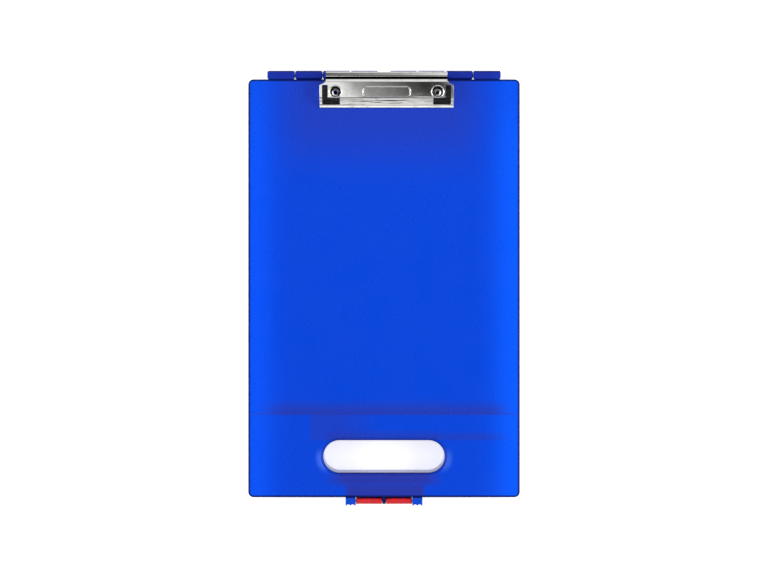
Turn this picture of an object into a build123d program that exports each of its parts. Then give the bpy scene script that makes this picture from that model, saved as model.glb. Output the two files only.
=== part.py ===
import os
from math import cos, pi, radians, sin, sqrt

from build123d import *

os.makedirs("parts", exist_ok=True)

# A clipboard with a storage case under its board. It lies on its back: X runs across the board,
# Y from the latch at the front to the hinge and the clip at the back, and Z up, in millimetres.
# The origin is under the middle of the whole object, on the table.

# Case
case_width = 254.0
case_length = 391.0
corner_radius = 5.0
tray_depth = 25.0  # table to the rim where the two shells meet
lid_depth = 5.0  # rim to the writing surface
wall = 2.2
floor = 2.0
draft = 1.0  # degrees that the tray's walls lean in towards the table
foot_radius = 3.4
floor_fillet = 1.4
seam = 0.3  # gap between the two shells
tongue = 1.0  # lip on the tray's rim, inside the lid's skirt
tongue_height = 1.6
lid_skin = 2.2
lid_edge_radius = 1.6

# Hand hole through both shells
hole_length = 113.5
hole_width = 30.0
hole_from_front = 37.8
collar_radius = 6.5
collar_depth = 10.0
tunnel_wall = 2.2
tunnel_chamfer = 1.8

# Dividers in the tray
divider = 1.6
divider_from_front = 78.0
pen_tray_end = 67.3  # distance of the pen tray's end wall to the left of the middle

# Case hinge
hinge_inset = 17.85  # side of the case to the first knuckle
hinge_gap = 11.1
knuckle_slit = 0.4
knuckles_per_side = 4
knuckle_radius = 4.0
hinge_clearance = 0.4  # back wall to the knuckles
knuckle_chamfer = 0.9
hinge_pin_radius = 1.5
pin_recess = 1.0
pin_stop = 2.0
gusset_drop = 4.0
pin_chamfer = 0.3

# Fits
running_fit = 0.05  # radial play of a hole on its pin
slack = 0.3  # gap between pieces that move past each other

# Latch
latch_width = 53.2  # between the ears
ear_width = 9.3
ear_margin = 1.3  # the ears' reach past the barrels
ear_drop = 9.5
scallop_radius = 2.4
scallop_edge = 2.65  # side of the ear to the middle of the scallop
scallop_offset = 1.1
ear_chamfer = 1.2
barrel_radius = 2.75
barrel_clearance = 1.0  # front wall to the barrels
barrel_drop = 1.25  # writing surface to the tops of the barrels
latch_pin_radius = 1.0
middle_knuckle = 3.4
flap_thickness = 2.2
flap_corner = 4.0
flap_below_tooth = 0.6
finger_lip_reach = 3.0
finger_lip_drop = 3.4
flap_bend_radius = 3.0
catch_width = 46.0
catch_depth = 1.6
catch_drop = 13.0  # latch axis to the catch's underside
catch_face = 1.6
catch_rise = 2.4
tooth_height = 3.1
tooth_tip = 1.1

# Clip
clip_offset = 2.4  # the clip sits this far to the right of the middle
jaw_width = 125.0
lever_width = 113.0
sheet = 1.0
lever_overhang = 5.9  # behind the case's back wall
lever_rise = 2.0  # above the plateau
lever_crown = 0.4
crown_radius = 8.0
roll_radius = 1.5
pivot_setback = 4.2  # in front of the case's back wall, as all the clip's places below
step_rear = 1.2
step_front = 3.2
shoulder_rear = 3.6
shoulder_front = 6.6
rivet_setback = 12.6
rivet_spacing = 95.0
plateau_past_rivets = 5.8
slope_run = 5.9
lip_run = 2.6
window_lead = 0.2  # the windows start this far behind the shoulders' front
window_foot_past_rivet = 4.0
window_corner = 0.7
strip_width = 2.5
lever_strip = 1.7  # the windows' inner edge inside the lever's side
strip_flange = 3.0
jaw_ear_gap = 0.9  # writing surface to the jaw's ears
jaw_ear_rear = 1.2
jaw_ear_front = 0.8
bend_radius = 1.3
access_radius = 5.0
boss_radius = 6.4
boss_height = 0.6
boss_draft = 30.0
plate_length = 45.0
plate_width = 10.4
plate_roundness = 0.42
plate_border = 1.1
plate_relief = 0.4
base_sheet = 0.8
base_rear = 1.3
base_behind_windows = 0.2  # the base's shoulders start this far behind the windows
base_short = 2.0  # the base ends this far behind the windows' front, apart from its corners
base_ear_wall = 1.15
base_ear_sheet = 1.0
pivot_pin_radius = 1.25
pivot_head_rim = 0.95
pivot_head = 1.0
rivet_radius = 2.4
rivet_bore = 1.6
rivet_head_radius = 3.7
rivet_head = 1.1
rivet_head_crown = 2.6
rivet_mouth = 0.4
rivet_clinch_radius = 3.5
rivet_clinch = 0.9
washer_radius = 5.5
washer = 1.0

# Clip spring
wire_radius = 0.5
coil_play = 0.3  # pivot pin to the inside of the coil
coil_clearance = 0.35  # base to the coil, and the coil to the plateau
coil_pitch = 1.6
coil_turns = 2
coil_exit = 60.0  # degrees past the last full turn where the lever's leg leaves the coil
front_leg = 9.0

# Places worked out from the sizes above
hinge_setback = hinge_clearance + knuckle_radius
hinge_reach = hinge_setback + knuckle_radius
hinge_span = case_width - 2 * hinge_inset
latch_setback = barrel_clearance + barrel_radius
ear_reach = latch_setback + barrel_radius + ear_margin
case_y = (ear_reach - hinge_reach) / 2
front_y = case_y - case_length / 2
back_y = case_y + case_length / 2
lid_top = tray_depth + lid_depth
lid_bottom = tray_depth + seam
hole_y = front_y + hole_from_front
hinge_y = back_y + hinge_setback
hinge_z = lid_top - knuckle_radius
knuckle_length = ((hinge_span - hinge_gap) / 2 + knuckle_slit) / knuckles_per_side - knuckle_slit
latch_y = front_y - latch_setback
latch_z = lid_top - barrel_drop - barrel_radius
catch_bottom = latch_z - catch_drop
catch_edge = catch_bottom + catch_face
flap_gap = catch_depth + slack
flap_length = catch_drop + slack + tooth_height + flap_below_tooth
coil_radius = pivot_pin_radius + coil_play + wire_radius  # middle of the wire
coil_room = coil_radius + wire_radius + coil_clearance
pivot_height = base_sheet + coil_room
plateau_height = pivot_height + coil_room + sheet
lever_height = plateau_height + lever_rise
leg_height = lever_height - sheet - slack - wire_radius - pivot_height
lever_leg = (leg_height + coil_radius * cos(radians(coil_exit))) / sin(radians(coil_exit))
slope_top = rivet_setback + plateau_past_rivets
slope_foot = slope_top + slope_run
lip_front = slope_foot + lip_run
window_rear = shoulder_front - window_lead
window_front = slope_foot - slack
window_inner = lever_width / 2 - lever_strip
window_outer = jaw_width / 2 - strip_width
window_foot_inner = rivet_spacing / 2 - window_foot_past_rivet
jaw_ear_radius = pivot_height - jaw_ear_gap
base_front = window_front - base_short
base_corner_front = window_front - slack
base_side = jaw_width / 2 - sheet - slack
base_shoulder = window_rear - base_behind_windows
pivot_y = back_y - pivot_setback
pivot_z = lid_top + pivot_height
rivet_y = back_y - rivet_setback
base_top = lid_top + base_sheet
side_wall_x = (case_width - wall) / 2  # middle of the side walls
cross_divider_y = front_y + divider_from_front
tunnel_divider_y = hole_y + (hole_width + tunnel_wall) / 2
tunnel_front_y = hole_y - (hole_width + tunnel_wall) / 2
tunnel_top = lid_top - collar_depth - seam
hole_straight = (hole_length - hole_width) / 2  # middle of the hole to where its round ends start
ears_end = latch_width / 2 + ear_width
rivet_places = [
    (clip_offset - rivet_spacing / 2, rivet_y),
    (clip_offset + rivet_spacing / 2, rivet_y),
]
base_outline = [  # half of it, as distances across and behind the case's back wall
    (lever_width / 2 - sheet - slack, -base_rear),
    (lever_width / 2 - sheet - slack, -base_shoulder),
    (base_side, -base_shoulder),
    (base_side, -base_front),
    (window_outer - slack, -base_front),
    (window_outer - slack, -base_corner_front),
    (window_foot_inner + slack, -base_corner_front),
    (window_foot_inner + slack, -base_front),
]
window_outline = [
    (window_inner, -window_rear),
    (window_outer, -window_rear),
    (window_outer, -window_front),
    (window_foot_inner, -window_front),
    (window_foot_inner, -slope_top),
    (window_inner, -slope_top),
]
arm_width = knuckle_length - 2 * knuckle_chamfer
lap = 1.0  # how far ribs and arms run into the wall that carries them


def case_plane(z):
    return Plane(origin=(0, case_y, z))


def side_plane(x):
    """A plane across X whose sketches are drawn in the model's Y and Z."""
    return Plane(origin=(x, 0, 0), x_dir=(0, 1, 0), z_dir=(1, 0, 0))


def knuckle_centres(places):
    """Middles of the hinge knuckles at these places, counted from each end of the hinge."""
    pitch = knuckle_length + knuckle_slit
    first = (hinge_span - knuckle_length) / 2
    return [side * (first - place * pitch) for side in (-1, 1) for place in places]


def clip_yz(behind, above):
    """A point of the clip, behind the case's back wall and above the writing surface."""
    return (back_y + behind, lid_top + above)


def clip_xy(across, behind):
    return (clip_offset + across, back_y + behind)


def rounded_outline(inset, mode=Mode.ADD):
    """The case's outline seen from above, or one inside it."""
    width, length = case_width - 2 * inset, case_length - 2 * inset
    RectangleRounded(width, length, corner_radius - inset, mode=mode)


def stadium(grow):
    """The hand hole's outline seen from above, or one round it."""
    with Locations((0, hole_y)):
        SlotOverall(hole_length + 2 * grow, hole_width + 2 * grow)


def add_barrel(piece, x):
    """A hinge barrel with its ends chamfered, still without the arm that carries it."""
    with BuildSketch(side_plane(x - knuckle_length / 2)) as end_face:
        with Locations((hinge_y, hinge_z)):
            Circle(knuckle_radius)
    extrude(end_face.sketch, amount=knuckle_length)
    chamfer(piece.edges(Select.LAST).filter_by(GeomType.CIRCLE), knuckle_chamfer)


def coil_point(turned):
    """A point of the spring's wire, some degrees after the leg on the base has met the coil."""
    angle = radians(turned - 90)
    return Vector(
        clip_offset + coil_pitch * (turned / 360 - coil_turns / 2),
        pivot_y + coil_radius * cos(angle),
        pivot_z + coil_radius * sin(angle),
    )


def coil_heading(turned):
    angle = radians(turned - 90)
    climb = coil_pitch / (2 * pi)
    return Vector(climb, -coil_radius * sin(angle), coil_radius * cos(angle)).normalized()


def biarc(start, heading, end, last_heading):
    """Two arcs in line with each other, from start along heading to end along last_heading."""
    across = end - start
    both = heading + last_heading
    turn = 2 * (1 - heading.dot(last_heading))
    along = across.dot(both)
    reach = (sqrt(along**2 + turn * across.dot(across)) - along) / turn
    first, second = start + heading * reach, end - last_heading * reach
    middle = (first + second) / 2
    TangentArc(start, middle, tangent=heading)
    TangentArc(middle, end, tangent=second - first)


def least_gap(path):
    """The least gap between the wire's surface and itself, leaving out the next half turn."""
    samples = 240
    half_turn = pi * coil_radius
    points = [path.position_at(i / samples) for i in range(samples + 1)]
    skip = int(half_turn / path.length * samples) + 1
    return min(
        (points[j] - points[i]).length
        for i in range(samples + 1)
        for j in range(i + skip, samples + 1)
    ) - 2 * wire_radius


lid_knuckles = knuckle_centres(range(0, knuckles_per_side, 2))
tray_knuckles = knuckle_centres(range(1, knuckles_per_side, 2))
hinge_ends = [-hinge_span / 2, hinge_span / 2]
pin_run = knuckles_per_side * (knuckle_length + knuckle_slit) - knuckle_slit - pin_stop


# Tray: a drafted shell with a rim tongue, dividers, the hand hole's tunnel, the tray's share of the
# hinge knuckles and the catch that the latch hooks under.
with BuildPart() as tray:
    with BuildSketch(case_plane(tray_depth)):
        rounded_outline(0)
    extrude(amount=-tray_depth, taper=draft)
    fillet(tray.faces().sort_by(Axis.Z)[0].edges(), foot_radius)
    with BuildSketch(case_plane(tray_depth)):
        rounded_outline(wall)
    extrude(amount=floor - tray_depth, taper=draft, mode=Mode.SUBTRACT)
    fillet(tray.faces().filter_by(Axis.Z).sort_by(Axis.Z)[1].edges(), floor_fillet)
    with BuildSketch(case_plane(tray_depth)):
        rounded_outline(wall - tongue)
        rounded_outline(wall, Mode.SUBTRACT)
    extrude(amount=tongue_height)

    # Dividers: one right across, one along the tunnel, the pen tray's end and two braces
    with BuildSketch(Plane.XY.offset(floor - lap)):
        with Locations((0, cross_divider_y)):
            Rectangle(2 * side_wall_x, divider)
        with Locations(((side_wall_x - pen_tray_end) / 2, tunnel_divider_y)):
            Rectangle(side_wall_x + pen_tray_end, divider)
        with Locations((-pen_tray_end, (cross_divider_y + tunnel_divider_y) / 2)):
            Rectangle(divider, cross_divider_y - tunnel_divider_y)
        for side in (-1, 1):
            with BuildLine():
                Line((side * hole_straight, tunnel_front_y), (side * ears_end, front_y + wall / 2))
            trace(line_width=divider)
    extrude(amount=tray_depth - floor + lap)

    # Tunnel of the hand hole, and room in the dividers for the lid's collar above it
    with BuildSketch(Plane.XY.offset(floor - lap)):
        stadium(tunnel_wall)
    extrude(amount=tunnel_top - floor + lap)
    with BuildSketch(Plane.XY.offset(tunnel_top)):
        stadium(lid_skin + 2 * slack)
    extrude(amount=tray_depth - tunnel_top + lap, mode=Mode.SUBTRACT)
    with BuildSketch():
        stadium(0)
    extrude(amount=tray_depth + lap, mode=Mode.SUBTRACT)
    hole_rim = tray.faces().sort_by(Axis.Z)[0].inner_wires()[0]
    chamfer(hole_rim.edges(), tunnel_chamfer)

    # Hinge knuckles on their gussets
    for x in tray_knuckles:
        add_barrel(tray, x)
        with BuildSketch(side_plane(x - arm_width / 2)):
            Polygon(
                (back_y - lap, tray_depth),
                (hinge_y - knuckle_radius / 2, tray_depth),
                (hinge_y, hinge_z),
                (hinge_y, hinge_z - knuckle_radius),
                (back_y - lap, tray_depth - gusset_drop),
                align=None,
            )
        extrude(amount=arm_width)
    for end in hinge_ends:
        with BuildSketch(side_plane(end)):
            with Locations((hinge_y, hinge_z)):
                Circle(hinge_pin_radius)
        extrude(amount=-pin_run if end > 0 else pin_run, mode=Mode.SUBTRACT)

    # Catch on the front wall
    with BuildSketch(side_plane(-catch_width / 2)):
        Polygon(
            (front_y + lap, catch_edge + catch_rise),
            (front_y, catch_edge + catch_rise),
            (front_y - catch_depth, catch_edge),
            (front_y - catch_depth, catch_bottom),
            (front_y + lap, catch_bottom),
            align=None,
        )
    extrude(amount=catch_width)

# Lid: the writing surface with its skirt, the hand hole's rounded collar, the lid's share of the
# hinge knuckles, and the ears and middle knuckle that carry the latch.
with BuildPart() as lid:
    with BuildSketch(case_plane(lid_bottom)):
        rounded_outline(0)
    extrude(amount=lid_top - lid_bottom)
    fillet(lid.faces().sort_by(Axis.Z)[-1].edges(), lid_edge_radius)

    # Hinge knuckles, level with the writing surface
    for x in lid_knuckles:
        add_barrel(lid, x)
        with BuildSketch(side_plane(x - arm_width / 2)):
            Polygon(
                (back_y - lid_edge_radius, lid_bottom),
                (hinge_y - knuckle_radius / 2, lid_bottom),
                (hinge_y, hinge_z),
                (hinge_y, lid_top),
                (back_y - lid_edge_radius, lid_top),
                align=None,
            )
        extrude(amount=arm_width)
    for end in hinge_ends:
        with BuildSketch(side_plane(end)):
            with Locations((hinge_y, hinge_z)):
                Circle(hinge_pin_radius + running_fit)
        extrude(amount=-pin_run if end > 0 else pin_run, mode=Mode.SUBTRACT)

    # Ears for the latch: ribbed blocks that reach down in front of the tray
    for side in (-1, 1):
        ear_x = side * (latch_width + ear_width) / 2
        with BuildSketch(Plane.XY.offset(lid_top - ear_drop)):
            with Locations((ear_x, front_y - (ear_reach + slack) / 2)):
                Rectangle(ear_width, ear_reach - slack)
        extrude(amount=ear_drop)
        chamfer(lid.faces(Select.LAST).sort_by(Axis.Z)[0].edges().sort_by(Axis.Y)[0], ear_chamfer)
        with BuildSketch(Plane.XY.offset(lid_bottom)):
            with Locations((ear_x, front_y)):
                Rectangle(ear_width, 2 * lid_edge_radius)
        extrude(amount=lid_top - lid_bottom)
        with BuildSketch(Plane.XY.offset(lid_top)):
            with Locations((ear_x, front_y - ear_reach - scallop_offset)):
                with GridLocations(ear_width - 2 * scallop_edge, 0, 2, 1):
                    Circle(scallop_radius)
        extrude(amount=-ear_drop, mode=Mode.SUBTRACT)
    with BuildSketch(side_plane(-middle_knuckle / 2)):
        with Locations((latch_y, latch_z)):
            Circle(barrel_radius)
        Polygon(
            (front_y + lid_edge_radius, lid_bottom),
            (front_y, lid_bottom),
            (latch_y, latch_z - barrel_radius / 2),
            (latch_y, latch_z + barrel_radius),
            (front_y + lid_edge_radius, lid_top),
            align=None,
        )
    extrude(amount=middle_knuckle)
    with BuildSketch(side_plane(-ears_end)):
        with Locations((latch_y, latch_z)):
            Circle(latch_pin_radius)
    extrude(amount=2 * ears_end, mode=Mode.SUBTRACT)

    # Inside of the skirt, with a step round the tray's tongue
    with BuildSketch(case_plane(lid_bottom)):
        rounded_outline(wall)
    extrude(amount=lid_depth - seam - lid_skin, mode=Mode.SUBTRACT)
    with BuildSketch(case_plane(lid_bottom)):
        rounded_outline(wall - tongue - slack)
    extrude(amount=tongue_height, mode=Mode.SUBTRACT)

    # Hand hole: the skin turns down over a rounded collar
    with BuildSketch(Plane.XY.offset(lid_top)):
        stadium(collar_radius)
    extrude(amount=-lid_skin, mode=Mode.SUBTRACT)
    for end in (-1, 1):  # each turn draws one long side and the round end it runs into
        corner = (end * hole_straight, hole_y + end * hole_width / 2, lid_top)
        with BuildSketch(Plane(corner, x_dir=(0, end, 0), z_dir=(end, 0, 0))) as collar_profile:
            with BuildLine():
                Line((0, -collar_depth), (0, -collar_radius))
                CenterArc((collar_radius, -collar_radius), collar_radius, 180, -90)
                Line((collar_radius, 0), (collar_radius + lap, 0))
                Line((collar_radius + lap, 0), (collar_radius + lap, -lid_skin))
                Line((collar_radius + lap, -lid_skin), (collar_radius, -lid_skin))
                CenterArc((collar_radius, -collar_radius), collar_radius - lid_skin, 90, 90)
                Line((lid_skin, -collar_radius), (lid_skin, -collar_depth))
                Line((lid_skin, -collar_depth), (0, -collar_depth))
            make_face()
        middle = Axis((end * hole_straight, hole_y, 0), (0, 0, 1))
        revolve(collar_profile.sketch, middle, revolution_arc=-180)
        extrude(amount=-2 * hole_straight)

    # Rivet holes
    with BuildSketch(Plane.XY.offset(lid_top)):
        with Locations(*rivet_places):
            Circle(rivet_radius)
    extrude(amount=-lid_skin, mode=Mode.SUBTRACT)

# Hinge pins: driven into the tray's knuckles from the ends of the hinge, they stop short of both
for name, end in (("hinge_pin_left", hinge_ends[0]), ("hinge_pin_right", hinge_ends[1])):
    inwards = -1 if end > 0 else 1
    with BuildPart() as hinge_pin:
        with BuildSketch(side_plane(end + inwards * pin_recess)):
            with Locations((hinge_y, hinge_z)):
                Circle(hinge_pin_radius)
        extrude(amount=inwards * (pin_run - pin_recess))
        chamfer(hinge_pin.edges(), pin_chamfer)
    hinge_pin.part.label = name
    export_step(hinge_pin.part, f"parts/{name}.step")

# Latch: two barrels on one flap that hangs before the front wall, with a tooth under the catch
with BuildPart() as latch:
    flap_y = front_y - flap_gap - flap_thickness / 2
    flap_foot = latch_z - flap_length
    tooth_y = front_y - slack
    tooth_top = catch_bottom - slack
    with BuildSketch(side_plane(-latch_width / 2 + slack)):
        with Locations((latch_y, latch_z)):
            Circle(barrel_radius)
        with BuildLine():
            FilletPolyline(
                (flap_y, latch_z),
                (flap_y, flap_foot),
                (flap_y - finger_lip_reach, flap_foot - finger_lip_drop),
                radius=flap_bend_radius,
            )
        trace(line_width=flap_thickness)
        Polygon(
            (flap_y, tooth_top),
            (tooth_y, tooth_top),
            (tooth_y, tooth_top - tooth_tip),
            (flap_y, tooth_top - tooth_height),
            align=None,
        )
    extrude(amount=latch_width - 2 * slack)
    lip_z = latch.part.bounding_box().min.Z
    outline_top = latch_z + barrel_radius + flap_corner
    with BuildSketch(Plane(origin=(0, front_y, 0), x_dir=(1, 0, 0), z_dir=(0, -1, 0))):
        with Locations((0, (lip_z + outline_top) / 2)):
            RectangleRounded(latch_width - 2 * slack, outline_top - lip_z, flap_corner)
    extrude(amount=2 * ear_reach, mode=Mode.INTERSECT)
    with BuildSketch(side_plane(-middle_knuckle / 2 - slack)):
        with Locations((latch_y, latch_z)):
            Rectangle(2 * (barrel_radius + slack), 2 * (barrel_radius + slack))
    extrude(amount=middle_knuckle + 2 * slack, mode=Mode.SUBTRACT)
    with BuildSketch(side_plane(-latch_width / 2)):
        with Locations((latch_y, latch_z)):
            Circle(latch_pin_radius + running_fit)
    extrude(amount=latch_width, mode=Mode.SUBTRACT)

with BuildPart() as latch_pin:
    with BuildSketch(side_plane(pin_recess - ears_end)):
        with Locations((latch_y, latch_z)):
            Circle(latch_pin_radius)
    extrude(amount=2 * (ears_end - pin_recess))
    chamfer(latch_pin.edges(), pin_chamfer)

# Clip base: a plate riveted to the lid, with two ears bent up for the jaw's pivot
base_ear_x = lever_width / 2 - sheet - slack
with BuildPart() as clip_base:
    with BuildSketch(Plane.XY.offset(lid_top)):
        Polygon(
            *[clip_xy(-across, behind) for across, behind in base_outline],
            *[clip_xy(across, behind) for across, behind in reversed(base_outline)],
            align=None,
        )
    extrude(amount=base_sheet)
    for side in (-1, 1):
        with BuildSketch(side_plane(clip_offset + side * base_ear_x)):
            with Locations((pivot_y, pivot_z)):
                Circle(pivot_pin_radius + base_ear_wall)
            with Locations((pivot_y, (lid_top + pivot_z) / 2)):
                Rectangle(2 * (pivot_pin_radius + base_ear_wall), pivot_z - lid_top)
        extrude(amount=-side * base_ear_sheet)
    with BuildSketch(side_plane(clip_offset - lever_width / 2)):
        with Locations((pivot_y, pivot_z)):
            Circle(pivot_pin_radius)
    extrude(amount=lever_width, mode=Mode.SUBTRACT)
    with BuildSketch(Plane.XY.offset(lid_top)):
        with Locations(*rivet_places):
            Circle(rivet_radius)
    extrude(amount=base_sheet, mode=Mode.SUBTRACT)

# Clip jaw: one stamped sheet, from the rolled thumb lever over the plateau down to the lip
with BuildPart() as clip_jaw:
    lever_edge = lever_height - lever_crown
    roll_behind = lever_overhang - roll_radius
    with BuildSketch(side_plane(clip_offset - jaw_width / 2)):
        with BuildLine():
            FilletPolyline(
                clip_yz(roll_behind, lever_edge - sheet / 2),
                clip_yz((roll_behind - step_rear) / 2, lever_height - sheet / 2),
                clip_yz(-step_rear, lever_edge - sheet / 2),
                clip_yz(-step_front, plateau_height - sheet / 2),
                clip_yz(-slope_top, plateau_height - sheet / 2),
                clip_yz(-slope_foot, slack + sheet / 2),
                clip_yz(-lip_front, slack + sheet / 2),
                radius=[crown_radius, bend_radius, bend_radius, bend_radius, bend_radius],
            )
        trace(line_width=sheet)
        with Locations(clip_yz(roll_behind, lever_edge - roll_radius)):
            Circle(roll_radius)
            Circle(roll_radius - sheet, mode=Mode.SUBTRACT)
    extrude(amount=jaw_width)

    # Flanges under the side strips
    for side in (-1, 1):
        with BuildSketch(side_plane(clip_offset + side * jaw_width / 2)):
            with BuildLine():
                Polyline(
                    clip_yz(-shoulder_rear, plateau_height - sheet / 2),
                    clip_yz(-slope_top, plateau_height - sheet / 2),
                    clip_yz(-slope_foot, slack + sheet / 2),
                    clip_yz(-slope_foot + strip_flange, slack + sheet / 2),
                    clip_yz(-slope_top + strip_flange / 2, plateau_height - strip_flange),
                    clip_yz(-shoulder_rear, plateau_height - strip_flange),
                    close=True,
                )
            make_face()
        extrude(amount=-side * sheet)

    # Shoulders: the lever is narrower than the front
    for side in (-1, 1):
        with BuildSketch(Plane.XY.offset(lid_top)):
            Polygon(
                clip_xy(side * lever_width / 2, lever_overhang),
                clip_xy(side * lever_width / 2, -shoulder_rear),
                clip_xy(side * jaw_width / 2, -shoulder_front),
                clip_xy(side * jaw_width / 2, lever_overhang),
                align=None,
            )
        extrude(amount=lever_height, mode=Mode.SUBTRACT)

    # Raised rims of the access holes, and the border of the blank name plate
    with BuildSketch(Plane.XY.offset(lid_top + plateau_height - sheet / 2)):
        with Locations(*rivet_places):
            Circle(boss_radius)
    extrude(amount=sheet / 2 + boss_height, taper=boss_draft)
    with BuildSketch(Plane.XY.offset(lid_top + plateau_height - sheet / 2)):
        with Locations(clip_xy(0, -rivet_setback)):
            RectangleRounded(plate_length, plate_width, plate_width * plate_roundness)
    extrude(amount=sheet / 2 + plate_relief)
    with BuildSketch(Plane.XY.offset(lid_top + plateau_height - plate_relief)):
        with Locations(clip_xy(0, -rivet_setback)):
            RectangleRounded(
                plate_length - 2 * plate_border,
                plate_width - 2 * plate_border,
                (plate_width - 2 * plate_border) * plate_roundness,
            )
    extrude(amount=2 * plate_relief, mode=Mode.SUBTRACT)
    with BuildSketch(Plane.XY.offset(lid_top + plateau_height - sheet)):
        with Locations(*rivet_places):
            Circle(access_radius)
    extrude(amount=sheet + boss_height, mode=Mode.SUBTRACT)

    # Windows in the corners, which leave the side strips and a front bar
    for side in (-1, 1):
        with BuildSketch(Plane.XY.offset(lid_top)):
            window = Polygon(
                *[clip_xy(side * across, behind) for across, behind in window_outline],
                align=None,
            )
            fillet(window.vertices(), window_corner)
        extrude(amount=lever_height, mode=Mode.SUBTRACT)

    # Ears on the pivot pin
    for side in (-1, 1):
        with BuildSketch(side_plane(clip_offset + side * lever_width / 2)):
            with Locations((pivot_y, pivot_z)):
                Circle(jaw_ear_radius)
            Polygon(
                clip_yz(-window_rear, plateau_height - sheet / 2),
                clip_yz(-step_front, plateau_height - sheet / 2),
                clip_yz(-step_rear, lever_edge - sheet / 2),
                clip_yz(jaw_ear_rear, lever_edge - sheet / 2),
                (pivot_y + jaw_ear_radius, pivot_z),
                (pivot_y - jaw_ear_radius * jaw_ear_front, pivot_z),
                align=None,
            )
        extrude(amount=-side * sheet)
    with BuildSketch(side_plane(clip_offset - lever_width / 2)):
        with Locations((pivot_y, pivot_z)):
            Circle(pivot_pin_radius + running_fit)
    extrude(amount=lever_width, mode=Mode.SUBTRACT)

with BuildPart() as clip_pivot_pin:
    pin_half = lever_width / 2 + slack
    with BuildSketch(side_plane(clip_offset - pin_half)):
        with Locations((pivot_y, pivot_z)):
            Circle(pivot_pin_radius)
    extrude(amount=2 * pin_half)
    for side in (-1, 1):
        with BuildSketch(side_plane(clip_offset + side * pin_half)):
            with Locations((pivot_y, pivot_z)):
                Circle(pivot_pin_radius + pivot_head_rim)
        extrude(amount=side * pivot_head)
        chamfer(clip_pivot_pin.faces().sort_by(Axis.X)[0 if side < 0 else -1].edges(), pivot_head / 2)

# Rivets: hollow, with their heads on the base and their tails rolled over washers under the lid
lid_under = lid_top - lid_skin
for name, (x, y) in zip(("left", "right"), rivet_places):
    with BuildPart() as clip_rivet:
        with BuildSketch(Plane(origin=(x, y, 0), x_dir=(1, 0, 0), z_dir=(0, -1, 0))):
            with BuildLine():
                Polyline(
                    (rivet_bore + rivet_mouth, base_top + rivet_head),
                    (rivet_bore, base_top + rivet_head - rivet_mouth),
                    (rivet_bore, lid_under - washer - rivet_clinch),
                    (rivet_clinch_radius - rivet_mouth, lid_under - washer - rivet_clinch),
                    (rivet_clinch_radius, lid_under - washer),
                    (rivet_radius, lid_under - washer),
                    (rivet_radius, base_top),
                    (rivet_head_radius, base_top),
                )
                RadiusArc(
                    (rivet_head_radius, base_top),
                    (rivet_bore + rivet_mouth, base_top + rivet_head),
                    -rivet_head_crown,
                )
            make_face()
        revolve(axis=Axis((x, y, 0), (0, 0, 1)))
    clip_rivet.part.label = f"clip_rivet_{name}"
    export_step(clip_rivet.part, f"parts/clip_rivet_{name}.step")

    with BuildPart() as clip_washer:
        with BuildSketch(Plane.XY.offset(lid_under)):
            with Locations((x, y)):
                Circle(washer_radius)
                Circle(rivet_radius, mode=Mode.SUBTRACT)
        extrude(amount=-washer)
    clip_washer.part.label = f"clip_washer_{name}"
    export_step(clip_washer.part, f"parts/clip_washer_{name}.step")

# Spring: one wire, with a leg along the base, a coil round the pivot pin and a leg up to the
# underside of the thumb lever
with BuildPart() as clip_spring:
    with BuildLine() as wire_line:
        start, heading = coil_point(0), coil_heading(0)
        Line(start - heading * front_leg, start)
        stops = [quarter * 90 for quarter in range(4 * coil_turns + 1)]
        stops.append(360 * coil_turns + coil_exit)
        for before, after in zip(stops, stops[1:]):
            biarc(
                coil_point(before),
                coil_heading(before),
                coil_point(after),
                coil_heading(after),
            )
        leave, heading = coil_point(stops[-1]), coil_heading(stops[-1])
        Line(leave, leave + heading * lever_leg)
    with BuildSketch(Plane(origin=wire_line.wire() @ 0, z_dir=wire_line.wire() % 0)):
        Circle(wire_radius)
    sweep(path=wire_line.wire())
print(f"clip_spring least gap {least_gap(wire_line.wire()):.2f} mm")

for piece, name in (
    (tray, "tray"),
    (lid, "lid"),
    (latch, "latch"),
    (latch_pin, "latch_pin"),
    (clip_base, "clip_base"),
    (clip_jaw, "clip_jaw"),
    (clip_pivot_pin, "clip_pivot_pin"),
    (clip_spring, "clip_spring"),
):
    piece.part.label = name
    export_step(piece.part, f"parts/{name}.step")
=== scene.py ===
from math import hypot, radians

import bpy
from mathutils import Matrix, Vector


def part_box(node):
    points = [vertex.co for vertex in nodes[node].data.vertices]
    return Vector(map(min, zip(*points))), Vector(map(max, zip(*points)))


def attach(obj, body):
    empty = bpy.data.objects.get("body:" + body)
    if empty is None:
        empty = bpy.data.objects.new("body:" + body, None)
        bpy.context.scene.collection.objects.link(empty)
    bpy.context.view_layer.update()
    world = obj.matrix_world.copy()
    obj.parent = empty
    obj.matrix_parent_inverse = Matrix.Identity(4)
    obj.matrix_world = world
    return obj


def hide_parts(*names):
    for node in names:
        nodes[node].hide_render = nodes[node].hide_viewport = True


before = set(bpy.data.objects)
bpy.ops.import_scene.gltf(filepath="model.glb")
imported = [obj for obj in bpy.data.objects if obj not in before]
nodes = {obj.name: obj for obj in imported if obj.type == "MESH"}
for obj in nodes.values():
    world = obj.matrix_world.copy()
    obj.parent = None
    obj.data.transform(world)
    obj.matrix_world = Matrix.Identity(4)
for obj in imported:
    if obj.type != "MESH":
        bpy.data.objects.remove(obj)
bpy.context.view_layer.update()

mm = 0.001
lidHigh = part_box("lid")[1]
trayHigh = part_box("tray")[1]
rivetCentres = [sum(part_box("clip_rivet_" + side), Vector()) / 2 for side in ("left", "right")]


def deselectAll():
    for thing in bpy.context.selected_objects:
        thing.select_set(False)
    bpy.context.view_layer.objects.active = None


def newMaterial(name):
    material = bpy.data.materials.new(name)
    material.use_nodes = True
    material.node_tree.nodes.clear()
    return material, material.node_tree


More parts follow.
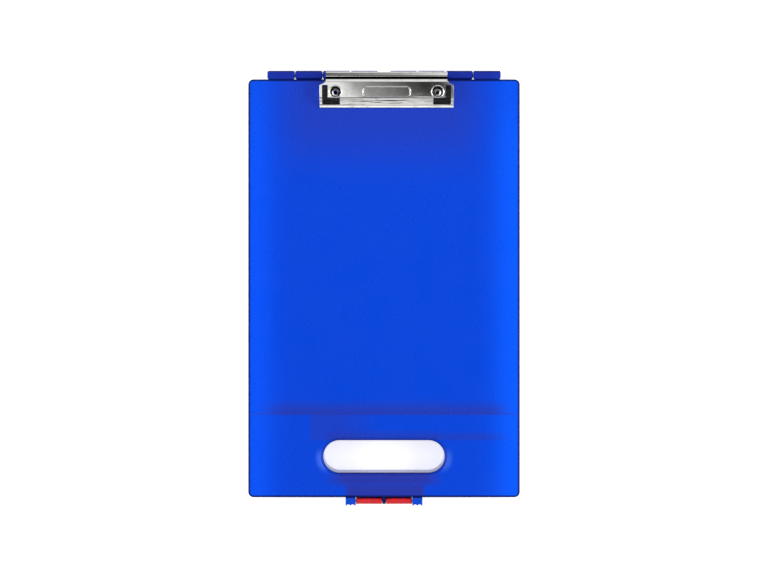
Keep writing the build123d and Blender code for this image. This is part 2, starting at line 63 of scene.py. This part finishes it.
def addNode(tree, kind, values=(), **settings):
    node = tree.nodes.new("ShaderNode" + kind)
    for name, value in settings.items():
        setattr(node, name, value)
    for name, value in dict(values).items():
        if isinstance(value, bpy.types.NodeSocket):
            tree.links.new(value, node.inputs[name])
        else:
            node.inputs[name].default_value = value
    return node


def calculate(tree, operation, a, b=0.0):
    return addNode(tree, "Math", {0: a, 1: b}, operation=operation).outputs[0]


def both(tree, first, second):
    return calculate(tree, "MULTIPLY", first, second)


def between(tree, value, start, end, low=0.0, high=1.0):  # eases from low to high
    limits = {"Value": value, "From Min": start, "From Max": end, "To Min": low, "To Max": high}
    return addNode(tree, "MapRange", limits, interpolation_type="SMOOTHSTEP").outputs[0]


def mixColours(tree, share, under, over):
    node = addNode(tree, "Mix", {0: share}, data_type="RGBA")
    for socket, value in ((node.inputs[6], under), (node.inputs[7], over)):
        if isinstance(value, bpy.types.NodeSocket):
            tree.links.new(value, socket)
        else:
            socket.default_value = (*value, 1)
    return node.outputs[2]


def shaderPlace(tree):  # where a point of the surface lies, in metres, and its three axes
    place = addNode(tree, "TexCoord").outputs["Object"]
    return place, addNode(tree, "SeparateXYZ", {"Vector": place}).outputs


def stretched(tree, place, scale):
    return addNode(tree, "Mapping", {"Vector": place, "Scale": scale}).outputs["Vector"]


def clouds(tree, place, scale, detail=3.0):
    return addNode(tree, "TexNoise", {"Vector": place, "Scale": scale, "Detail": detail}).outputs["Fac"]


def relief(tree, height, distance, strength=1.0, normal=None):
    values = {"Height": height, "Distance": distance, "Strength": strength}
    if normal:
        values["Normal"] = normal
    return addNode(tree, "Bump", values).outputs["Normal"]


def facingUp(tree):  # 1 on level faces, 0 on upright ones
    normal = addNode(tree, "NewGeometry").outputs["Normal"]
    up = addNode(tree, "SeparateXYZ", {"Vector": normal}).outputs["Z"]
    return calculate(tree, "ABSOLUTE", up)


def finishMaterial(tree, values):
    shader = addNode(tree, "BsdfPrincipled", values)
    addNode(tree, "OutputMaterial", {"Surface": shader.outputs[0]})


def paint(material, *names):
    for name in names:
        for slot in nodes[name].material_slots:
            slot.material = material


# A pale floor in a white room, two side softboxes, and cards that only glossy surfaces see

stage = {
    "floorSize": 8.0,
    "floorHeight": -0.05 * mm,
    "floorColour": (0.88, 0.88, 0.88),
    "floorGlow": 0.6,
    "fill": 0.6,
    "background": 1.0,
}


def seenDirectly(tree):  # 1 for what the camera sees, also in metal and through plastic
    path = addNode(tree, "LightPath").outputs
    seen = calculate(tree, "MAXIMUM", path["Is Camera Ray"], path["Is Glossy Ray"])
    return calculate(tree, "MAXIMUM", seen, path["Is Transmission Ray"])


def makeFloor():
    deselectAll()
    bpy.ops.mesh.primitive_plane_add(size=stage["floorSize"], location=(0, 0, stage["floorHeight"]))
    floor = bpy.context.object
    floor.name = "floor"
    material, tree = newMaterial("paleFloor")
    matte = addNode(tree, "BsdfDiffuse", {"Color": (*stage["floorColour"], 1)})
    strength = both(tree, seenDirectly(tree), stage["floorGlow"])
    glow = addNode(tree, "Emission", {"Strength": strength})
    glowing = addNode(tree, "AddShader", {0: matte.outputs[0], 1: glow.outputs[0]})
    addNode(tree, "OutputMaterial", {"Surface": glowing.outputs[0]})
    floor.data.materials.append(material)


def makeWorld():
    world = bpy.data.worlds.new("studio")
    bpy.context.scene.world = world
    world.use_nodes = True
    tree = world.node_tree
    tree.nodes.clear()
    limits = {"Value": seenDirectly(tree), "To Min": stage["fill"], "To Max": stage["background"]}
    strength = addNode(tree, "MapRange", limits).outputs[0]
    sky = addNode(tree, "Background", {"Strength": strength})
    addNode(tree, "OutputWorld", {"Surface": sky.outputs[0]})


softboxes = {
    "left": {"place": (-1.0, 0.05, 0.6), "aim": (0, 0, 0), "size": (1.1, 0.6), "watts": 8.0},
    "right": {"place": (1.0, 0.05, 0.6), "aim": (0, 0, 0), "size": (1.1, 0.6), "watts": 10.0},
}


def makeSoftboxes():
    for name, box in softboxes.items():
        lamp = bpy.data.lights.new(name + "Softbox", "AREA")
        lamp.shape = "RECTANGLE"
        lamp.size, lamp.size_y = box["size"]
        lamp.energy = box["watts"]
        holder = bpy.data.objects.new(name + "Softbox", lamp)
        holder.location = box["place"]
        holder.rotation_euler = (Vector(box["aim"]) - holder.location).to_track_quat("-Z", "Y").to_euler()
        bpy.context.collection.objects.link(holder)


cards = {  # the glow is a list of places along X and how bright the card is there
    "ceiling": {"place": (0, 0.035, 1.45), "size": (2.4, 0.97), "glow": [(0, 0.0)]},
    "frontCeiling": {"place": (0, -0.785, 1.45), "size": (2.4, 0.67), "glow": [(0, 0.3)]},
    "rearNear": {"place": (0, 0.57, 1.45), "size": (2.4, 0.1), "glow": [(0, 0.07)]},
    "rearMiddle": {
        "place": (0, 0.745, 1.45),
        "size": (2.4, 0.25),
        "glow": [(-0.11, 0.14), (0.03, 0.38), (0.12, 0.85)],
    },
    "rearFar": {"place": (0, 0.995, 1.45), "size": (2.4, 0.25), "glow": [(0, 0.05)]},
    "front": {"place": (0, -1.5, 0.34), "size": (3, 0.4), "tilt": 90, "glow": [(0, 0.04)]},
    "rear": {"place": (0, 1.5, 0.34), "size": (3, 0.4), "tilt": 90, "glow": [(0, 0.04)]},
    "overLip": {"place": (0, 0.2945, 1.3), "size": (0.34, 0.049), "glow": [(0, 1.15)]},
    "overClip": {
        "place": (0, 0.3815, 1.3),
        "size": (0.34, 0.125),
        "slant": 0.8,  # how far the glow's places move along X for each metre along Y
        "glow": [
            (-0.19, 0.95),
            (-0.1, 0.85),
            (-0.08, 0.45),
            (-0.06, 0.26),
            (-0.01, 0.16),
            (0.02, 0.07),
            (0.045, 0.03),
            (0.075, 0.03),
            (0.1, 0.4),
        ],
    },
}


def makeCards():
    for name, card in cards.items():
        material, tree = newMaterial(name + "Card")
        axes = shaderPlace(tree)[1]
        width, depth = card["size"]
        across = both(tree, axes["X"], width)
        along = both(tree, axes["Y"], depth * card.get("slant", 0))
        place = calculate(tree, "ADD", across, along)
        start = card["glow"][0][0]
        span = max(card["glow"][-1][0] - start, mm)
        factor = addNode(tree, "MapRange", {"Value": place, "From Min": start, "From Max": start + span})
        ramp = addNode(tree, "ValToRGB", {"Fac": factor.outputs[0]})
        stops = ramp.color_ramp.elements
        while len(stops) < len(card["glow"]):
            stops.new(1)
        while len(stops) > len(card["glow"]):
            stops.remove(stops[-1])
        for stop, (where, strength) in zip(stops, card["glow"]):
            stop.position = (where - start) / span
            stop.color = (strength, strength, strength, 1)
        glow = addNode(tree, "Emission", {"Color": ramp.outputs["Color"]})
        addNode(tree, "OutputMaterial", {"Surface": glow.outputs[0]})
        deselectAll()
        turned = (radians(card.get("tilt", 0)), 0, 0)
        bpy.ops.mesh.primitive_plane_add(size=1, location=card["place"], rotation=turned)
        plane = bpy.context.object
        plane.name = name + "Card"
        plane.scale = (width, depth, 1)
        plane.data.materials.append(material)
        plane.visible_camera = False
        plane.visible_diffuse = False
        plane.visible_shadow = False
        plane.visible_transmission = False


camera = {
    "pixels": (768, 576),
    "metresPerPixel": 0.9345 * mm,  # at the writing surface
    "height": 1.5,  # above the writing surface
    "sensor": 36.0,
    "farthest": 20,
}


def makeCamera():
    lens = bpy.data.cameras.new("camera")
    lens.sensor_width = camera["sensor"]
    lens.lens = camera["sensor"] * camera["height"] / (camera["pixels"][0] * camera["metresPerPixel"])
    lens.clip_end = camera["farthest"]
    holder = bpy.data.objects.new("camera", lens)
    holder.location = (0, 0, lidHigh.z + camera["height"])
    bpy.context.collection.objects.link(holder)
    bpy.context.scene.camera = holder


makeWorld()
makeFloor()
makeSoftboxes()
makeCards()
makeCamera()
bpy.context.scene.view_settings.view_transform = "Standard"
print("stage, lights and camera made")


# Case plastic: translucent blue, with painted light making it brighter by the side walls and painted shade
# where walls stand behind it

plastic = {
    "lid": (0.0, 0.066, 0.78),
    # painted light: brighter blue near the left and right walls
    "lidPaintedLightLeft": (0.0, 0.078, 0.93),
    "lidPaintedLightRight": (0.0, 0.098, 0.98),
    "tray": (0.0, 0.06, 0.72),
    "trayPaintedLightByWalls": (0.0, 0.09, 0.9),
    # painted shade where walls and the clip stand behind or over the skin
    "paintedShade": (0.024, 0.042, 0.42),
    # painted shade for dark outlines at rims and edges
    "rim": (0.0, 0.006, 0.11),
    # painted shade on upright faces
    "side": (0.0, 0.03, 0.42),
    # painted shade on the lower hinge strip
    "stripShade": (0.01, 0.031, 0.41),
    "ear": (0.004, 0.075, 0.72),
    # painted shade on the middle knuckle between the ears
    "middleKnuckleShade": (0.004, 0.008, 0.1),
    # painted highlight in the collar beside the hand hole
    "holePaintedHighlight": (0.06, 0.2, 1.0),
    "paintedWallLightWidth": 46 * mm,
    # painted light: a faint glow along the side walls
    "paintedPipedGlow": (0.0, 0.015, 0.08),
    "clearness": 0.12,
    "refraction": 1.49,
    "shine": 0.1,
    "satin": 35.0,
    "roughness": (0.24, 0.32),
    "scuffRoughness": 0.05,
    "scuffs": ((40, 2200, 40), (1800, 60, 60)),
    "holeWallGloss": 0.15,  # what is left of the roughness there
    "grain": 900.0,
    "grainDepth": 0.01 * mm,
    "grainStrength": 0.25,
}

# Outlines seen from above and where the shades change, all in millimetres

caseOutline = {"centre": (0, -0.3), "half": (127, 195.5), "corner": 5}
handHole = {"centre": (0, -158), "half": (56.75, 15), "corner": 15}

fades = {  # each from one place to another
    "dimmerAtBack": (120, 190),
    "paintedPipedGlowStart": (95, 120),
    "paintedPipedGlowEnd": (124.5, 125.5),
    "collarEnds": (50, 57),
    "collarInner": (1.5, 3.5),
    "collarOuter": (5, 8.5),
    "collarFront": (-175, -164),
    "collarBack": (-158, -148),
    "holeEdgeShade": (0.2, 1.5),
    "holeWalls": (2, 4),
    "skirtFromHole": (6, 8),
    "rim": (-2.4, -1.5),
    "lidOutside": (0.2, 0.7),
    "trayOutside": (0.3, 0.8),
    "middle": (-1, 1),
    "middleKnuckleShade": (2, 3),
    "stripShadeEdge": (-2.2, -0.6),
}

paintedShades = {  # painted shade where inner walls stand behind the skin and round the clip; box as left, front, right, back and how softly each side fades
    "clip": {"box": (-62, 165, 62, 200), "soft": (58, 75, 50, 5), "strength": 0.55},
    "divider": {"box": (-88, -118, 98, -116), "soft": (38, 0.7, 28, 14), "strength": 0.65},
    "dividerFoot": {"box": (-122, -118.3, 122, -117.3), "soft": (3, 0.5, 3, 0.6), "strength": 0.4},
    "penTray": {"box": (-67.5, -141, -50, -119), "soft": (1.5, 3, 55, 3), "strength": 0.38},
    "tunnelDivider": {"box": (60, -141.5, 96, -139.5), "soft": (24, 1, 26, 7), "strength": 0.45},
    "aboveHole": {"box": (-46, -141.2, 46, -139), "soft": (12, 1, 12, 9), "strength": 0.45},
    "belowHole": {"box": (-34, -179, 34, -174), "soft": (26, 9, 26, 1.2), "strength": 0.95},
    "latch": {"box": (-33, -197, 35, -188), "soft": (5, 2, 5, 9), "strength": 0.9},
}


def fade(tree, value, name, low=0.0, high=1.0):
    start, end = fades[name]
    return between(tree, value, start * mm, end * mm, low, high)


def softBox(tree, axes, box, soft):
    left, front, right, back = (value * mm for value in box)
    fadeLeft, fadeFront, fadeRight, fadeBack = (value * mm for value in soft)
    fromLeft = between(tree, axes["X"], left - fadeLeft, left)
    fromRight = between(tree, axes["X"], right, right + fadeRight, 1, 0)
    fromFront = between(tree, axes["Y"], front - fadeFront, front)
    fromBack = between(tree, axes["Y"], back, back + fadeBack, 1, 0)
    return both(tree, both(tree, fromLeft, fromRight), both(tree, fromFront, fromBack))


def outlineDistance(tree, axes, outline):  # from a rounded box seen from above, less than 0 inside
    past = []
    for axis, middle, half in zip("XY", outline["centre"], outline["half"]):
        offset = calculate(tree, "SUBTRACT", axes[axis], middle * mm)
        size = calculate(tree, "ABSOLUTE", offset)
        past.append(calculate(tree, "SUBTRACT", size, (half - outline["corner"]) * mm))
    outX, outY = (calculate(tree, "MAXIMUM", value) for value in past)
    squares = calculate(tree, "ADD", both(tree, outX, outX), both(tree, outY, outY))
    outside = calculate(tree, "SQRT", squares)
    inside = calculate(tree, "MINIMUM", calculate(tree, "MAXIMUM", *past))
    total = calculate(tree, "ADD", outside, inside)
    return calculate(tree, "SUBTRACT", total, outline["corner"] * mm)


def scuffs(tree, place):  # fine scratches along a few directions
    marks = []
    for scale in plastic["scuffs"]:
        marks.append(between(tree, clouds(tree, stretched(tree, place, scale), 1.0, 2.0), 0.66, 0.74))
    return calculate(tree, "MAXIMUM", *marks)


def lidColour(tree, axes, up):
    # Painted light: brighter blue near the side walls, weaker towards the back
    side = calculate(tree, "ABSOLUTE", axes["X"])
    paintedWallLight = between(tree, side, lidHigh.x - plastic["paintedWallLightWidth"], lidHigh.x)
    paintedWallLight = both(tree, paintedWallLight, fade(tree, axes["Y"], "dimmerAtBack", 1, 0.45))
    right = fade(tree, axes["X"], "middle")
    paintedWallLightColour = mixColours(tree, right, plastic["lidPaintedLightLeft"], plastic["lidPaintedLightRight"])
    shade = mixColours(tree, paintedWallLight, plastic["lid"], paintedWallLightColour)
    # Painted shade, darker and more violet, where inner walls stand behind the skin and round the clip
    for paintedShade in paintedShades.values():
        mask = softBox(tree, axes, paintedShade["box"], paintedShade["soft"])
        shade = mixColours(tree, both(tree, mask, paintedShade["strength"]), shade, plastic["paintedShade"])
    fromHole = outlineDistance(tree, axes, handHole)
    fromCase = outlineDistance(tree, axes, caseOutline)

    # Painted highlight for light caught in the collar at both ends of the hand hole, and painted shade
    # along its dark edge
    glow = fade(tree, side, "collarEnds", 0, 0.5)
    for value, start, end in (
        (fromHole, "collarInner", "collarOuter"),
        (axes["Y"], "collarFront", "collarBack"),
    ):
        glow = both(tree, glow, both(tree, fade(tree, value, start), fade(tree, value, end, 1, 0)))
    shade = mixColours(tree, glow, shade, plastic["holePaintedHighlight"])
    # Painted shade: a dark line along the hand hole's edge
    shade = mixColours(tree, fade(tree, fromHole, "holeEdgeShade", 0.85, 0), shade, plastic["rim"])

    # Painted shade: a dark outline where the skin turns down to the skirt
    shade = mixColours(tree, fade(tree, fromCase, "rim", 0, 0.95), shade, plastic["rim"])
    # Painted shade: upright faces darker
    upright = between(tree, up, 0.05, 0.3, 1, 0)
    upright = both(tree, upright, fade(tree, fromHole, "skirtFromHole"))
    shade = mixColours(tree, upright, shade, plastic["side"])

    # What stands outside the case's outline: knuckles behind it in painted shade, ears and the middle
    # knuckle in front, the middle knuckle painted dark as shade
    betweenEars = fade(tree, side, "middleKnuckleShade", 1, 0)
    front = mixColours(tree, betweenEars, plastic["ear"], plastic["middleKnuckleShade"])
    outer = mixColours(tree, fade(tree, axes["Y"], "middle"), front, stripShadeColour(tree, axes))
    return mixColours(tree, fade(tree, fromCase, "lidOutside"), shade, outer)


def stripShadeColour(tree, axes):  # the hinge strip in painted shade, darkest along its rear edge
    fromEdge = calculate(tree, "SUBTRACT", axes["Y"], lidHigh.y)
    return mixColours(tree, fade(tree, fromEdge, "stripShadeEdge"), plastic["stripShade"], plastic["rim"])


def trayColour(tree, axes, up):
    side = calculate(tree, "ABSOLUTE", axes["X"])
    # Painted light: brighter blue near the side walls
    paintedWallLight = between(tree, side, trayHigh.x - plastic["paintedWallLightWidth"], trayHigh.x)
    shade = mixColours(tree, paintedWallLight, plastic["tray"], plastic["trayPaintedLightByWalls"])
    # Painted shade: upright faces darker
    upright = between(tree, up, 0.05, 0.5, 0.6, 0)
    shade = mixColours(tree, upright, shade, plastic["side"])
    behind = fade(tree, outlineDistance(tree, axes, caseOutline), "trayOutside")
    return mixColours(tree, behind, shade, stripShadeColour(tree, axes))


def casePlastic(name, colouring):
    material, tree = newMaterial(name)
    place, axes = shaderPlace(tree)
    up = facingUp(tree)
    side = calculate(tree, "ABSOLUTE", axes["X"])
    # Painted light: a faint blue glow on level faces near the side walls, as if light were piped through
    # the plastic
    paintedPipedLight = both(tree, fade(tree, side, "paintedPipedGlowStart"), fade(tree, side, "paintedPipedGlowEnd", 1, 0))
    paintedPipedLight = both(tree, paintedPipedLight, between(tree, up, 0.8, 0.98))
    satin = between(tree, clouds(tree, place, plastic["satin"], 4.0), 0.3, 0.7, *plastic["roughness"])
    worn = calculate(tree, "ADD", satin, both(tree, scuffs(tree, place), plastic["scuffRoughness"]))
    inHole = fade(tree, outlineDistance(tree, axes, handHole), "holeWalls", 1, 0)
    inHole = both(tree, inHole, between(tree, up, 0.3, 0.6, 1, 0))
    grain = clouds(tree, place, plastic["grain"], 2.0)
    worn = both(tree, worn, between(tree, inHole, 0, 1, 1, plastic["holeWallGloss"]))
    finishMaterial(
        tree,
        {
            "Base Color": colouring(tree, axes, up),
            "Roughness": worn,
            "IOR": plastic["refraction"],
            "Specular IOR Level": plastic["shine"],
            "Transmission Weight": plastic["clearness"],
            "Emission Color": (*plastic["paintedPipedGlow"], 1),
            "Emission Strength": paintedPipedLight,
            "Normal": relief(tree, grain, plastic["grainDepth"], plastic["grainStrength"]),
        },
    )
    return material


paint(casePlastic("lidPlastic", lidColour), "lid")
paint(casePlastic("trayPlastic", trayColour), "tray")
print("case painted")


# Pieces of the clip and the latch are worked up from merged copies of the CAD pieces

finishing = {
    "merge": 0.002 * mm,
    "level": radians(0.3),  # faces that lean less than this against each other become one
    "smoothBelow": radians(32),
    "roundAbove": radians(30),
}


def takeCopy(name):
    deselectAll()
    piece = bpy.data.objects.new(name + "_finished", nodes[name].data.copy())
    bpy.context.collection.objects.link(piece)
    piece.select_set(True)
    bpy.context.view_layer.objects.active = piece
    bpy.ops.object.mode_set(mode="EDIT")
    bpy.ops.mesh.select_all(action="SELECT")
    bpy.ops.mesh.remove_doubles(threshold=finishing["merge"])
    bpy.ops.mesh.dissolve_limited(angle_limit=finishing["level"])
    bpy.ops.mesh.select_all(action="DESELECT")
    bpy.ops.object.mode_set(mode="OBJECT")
    return piece


def roundSelected(piece, belongs, width, segments):  # bevels the edges whose two ends both belong
    bpy.ops.object.mode_set(mode="EDIT")
    bpy.ops.mesh.select_mode(type="EDGE")
    bpy.ops.mesh.select_all(action="DESELECT")
    bpy.ops.object.mode_set(mode="OBJECT")
    for edge in piece.data.edges:
        edge.select = all(belongs(piece.data.vertices[end].co) for end in edge.vertices)
    bpy.ops.object.mode_set(mode="EDIT")
    bpy.ops.mesh.bevel(offset=width, segments=segments, profile=0.5)
    bpy.ops.object.mode_set(mode="OBJECT")


def roundEdges(piece, width, segments):
    bevel = piece.modifiers.new("roundEdges", "BEVEL")
    bevel.width = width
    bevel.segments = segments
    bevel.angle_limit = finishing["roundAbove"]
    bevel.use_clamp_overlap = False
    bpy.ops.object.modifier_apply(modifier=bevel.name)
    bpy.ops.object.shade_smooth_by_angle(angle=finishing["smoothBelow"])
    even = piece.modifiers.new("evenShading", "WEIGHTED_NORMAL")
    even.keep_sharp = True
    bpy.ops.object.modifier_apply(modifier=even.name)


def handOver(piece, name, body, material):
    piece.data.materials.clear()
    piece.data.materials.append(material)
    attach(piece, body)
    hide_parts(name)


chrome = {
    "plate": (0.89, 0.89, 0.87),
    "grimy": (0.5, 0.49, 0.46),
    "roughness": (0.03, 0.07),
    "rollWaves": (24, 420, 420),  # long streaks that the press leaves along the sheet
    "rollDepth": 0.06 * mm,
    "dents": 55.0,
    "dentDepth": 0.04 * mm,
    "dentStrength": 0.35,
    "grime": 120.0,
    "patches": 60.0,
    "edge": 0.12 * mm,
    "rimRound": 0.28 * mm,
    "rimRadii": (4.9 * mm, 6.5 * mm),
    "plateHalf": (23.5 * mm, 6 * mm),
    "plateRound": 0.3 * mm,
    "topDepth": 0.03 * mm,  # how far below the highest point an edge still counts as the top
}


def chromeFinish(name):
    material, tree = newMaterial(name)
    place = shaderPlace(tree)[0]
    streaks = clouds(tree, stretched(tree, place, chrome["rollWaves"]), 1.0, 2.0)
    onSlope = between(tree, facingUp(tree), 0.75, 0.98, 1, 0)
    waves = relief(tree, both(tree, streaks, onSlope), chrome["rollDepth"])
    dents = clouds(tree, place, chrome["dents"], 1.0)
    grime = between(tree, clouds(tree, place, chrome["grime"], 5.0), 0.52, 0.72, 0, 0.35)
    patches = clouds(tree, place, chrome["patches"], 4.0)
    finishMaterial(
        tree,
        {
            "Base Color": mixColours(tree, grime, chrome["plate"], chrome["grimy"]),
            "Metallic": 1.0,
            "Roughness": between(tree, patches, 0.3, 0.7, *chrome["roughness"]),
            "Normal": relief(tree, dents, chrome["dentDepth"], chrome["dentStrength"], waves),
        },
    )
    return material


def byRivet(point):
    distances = [hypot(point.x - centre.x, point.y - centre.y) for centre in rivetCentres]
    near, far = chrome["rimRadii"]
    return near < min(distances) < far


def byPlate(point):
    centre = sum(rivetCentres, Vector()) / 2
    halfWidth, halfDepth = chrome["plateHalf"]
    return abs(point.x - centre.x) < halfWidth and abs(point.y - centre.y) < halfDepth


def roundTops(piece, belongs, width):  # rounds the highest edges of one place into a bead
    top = max(corner.co.z for corner in piece.data.vertices if belongs(corner.co))
    roundSelected(piece, lambda point: belongs(point) and point.z > top - chrome["topDepth"], width, 3)


def makeJaw():
    jaw = takeCopy("clip_jaw")
    roundTops(jaw, byRivet, chrome["rimRound"])
    roundTops(jaw, byPlate, chrome["plateRound"])
    roundEdges(jaw, chrome["edge"], 2)
    handOver(jaw, "clip_jaw", "jaw", chromeFinish("clipChrome"))


makeJaw()

latchLook = {
    "red": (0.72, 0.022, 0.03),
    "deep": (0.42, 0.008, 0.014),
    # painted shade: heights over which the red darkens downwards
    "shadeHeights": (0.004, 0.027),
    "flow": (20, 90, 90),
    "roughness": (0.16, 0.26),
    "refraction": 1.49,
    "shine": 0.4,
    "grain": 1400.0,
    "edge": 0.25 * mm,
}


def latchPlastic():
    material, tree = newMaterial("latchRed")
    place, axes = shaderPlace(tree)
    flow = clouds(tree, stretched(tree, place, latchLook["flow"]), 1.0, 3.0)
    # Painted shade: the red darkens lower down the latch; the flow marks below are the plastic's own tone
    depth = between(tree, axes["Z"], *latchLook["shadeHeights"], 0.45, 0)
    shade = mixColours(tree, depth, latchLook["red"], latchLook["deep"])
    shade = mixColours(tree, between(tree, flow, 0.4, 0.75, 0, 0.3), shade, latchLook["deep"])
    finishMaterial(
        tree,
        {
            "Base Color": shade,
            "Roughness": between(tree, clouds(tree, place, 90.0), 0.3, 0.7, *latchLook["roughness"]),
            "IOR": latchLook["refraction"],
            "Specular IOR Level": latchLook["shine"],
            "Normal": relief(tree, clouds(tree, place, latchLook["grain"], 2.0), 0.01 * mm, 0.4),
        },
    )
    return material


def makeLatch():
    latch = takeCopy("latch")
    roundEdges(latch, latchLook["edge"], 3)
    handOver(latch, "latch", "flap", latchPlastic())


makeLatch()
print("clip jaw and latch made")


# Steel: the base's zinc painted nearly black as the shade under the jaw, the rivets' nickel and the drawn
# pins and spring

steels = {
    "baseSteelPaintedShade": {
        "pieces": ("clip_base",),
        # painted shade: nearly black, as the base lies in shadow under the jaw
        "light": (0.09, 0.09, 0.095),
        "dark": (0.03, 0.03, 0.032),
        "roughness": (0.35, 0.5),
        "streaks": (60, 700, 700),
    },
    "rivetSteel": {
        "pieces": ("clip_rivet_left", "clip_rivet_right", "clip_washer_left", "clip_washer_right"),
        "light": (0.86, 0.86, 0.84),
        "dark": (0.66, 0.66, 0.64),
        "roughness": (0.3, 0.4),
        "streaks": (500, 500, 900),
    },
    "pinSteel": {
        "pieces": ("hinge_pin_left", "hinge_pin_right", "latch_pin", "clip_pivot_pin", "clip_spring"),
        "light": (0.6, 0.6, 0.61),
        "dark": (0.36, 0.36, 0.37),
        "roughness": (0.22, 0.38),
        "streaks": (60, 1500, 1500),
    },
}


def steelFinish(name, look):
    material, tree = newMaterial(name)
    place = shaderPlace(tree)[0]
    brushed = clouds(tree, stretched(tree, place, look["streaks"]), 1.0, 3.0)
    finishMaterial(
        tree,
        {
            "Base Color": mixColours(tree, between(tree, brushed, 0.35, 0.7), look["light"], look["dark"]),
            "Metallic": 1.0,
            "Roughness": between(tree, clouds(tree, place, 150.0), 0.3, 0.7, *look["roughness"]),
            "Normal": relief(tree, brushed, 0.01 * mm, 0.5),
        },
    )
    return material


for name, look in steels.items():
    paint(steelFinish(name, look), *look["pieces"])
print("steel painted")
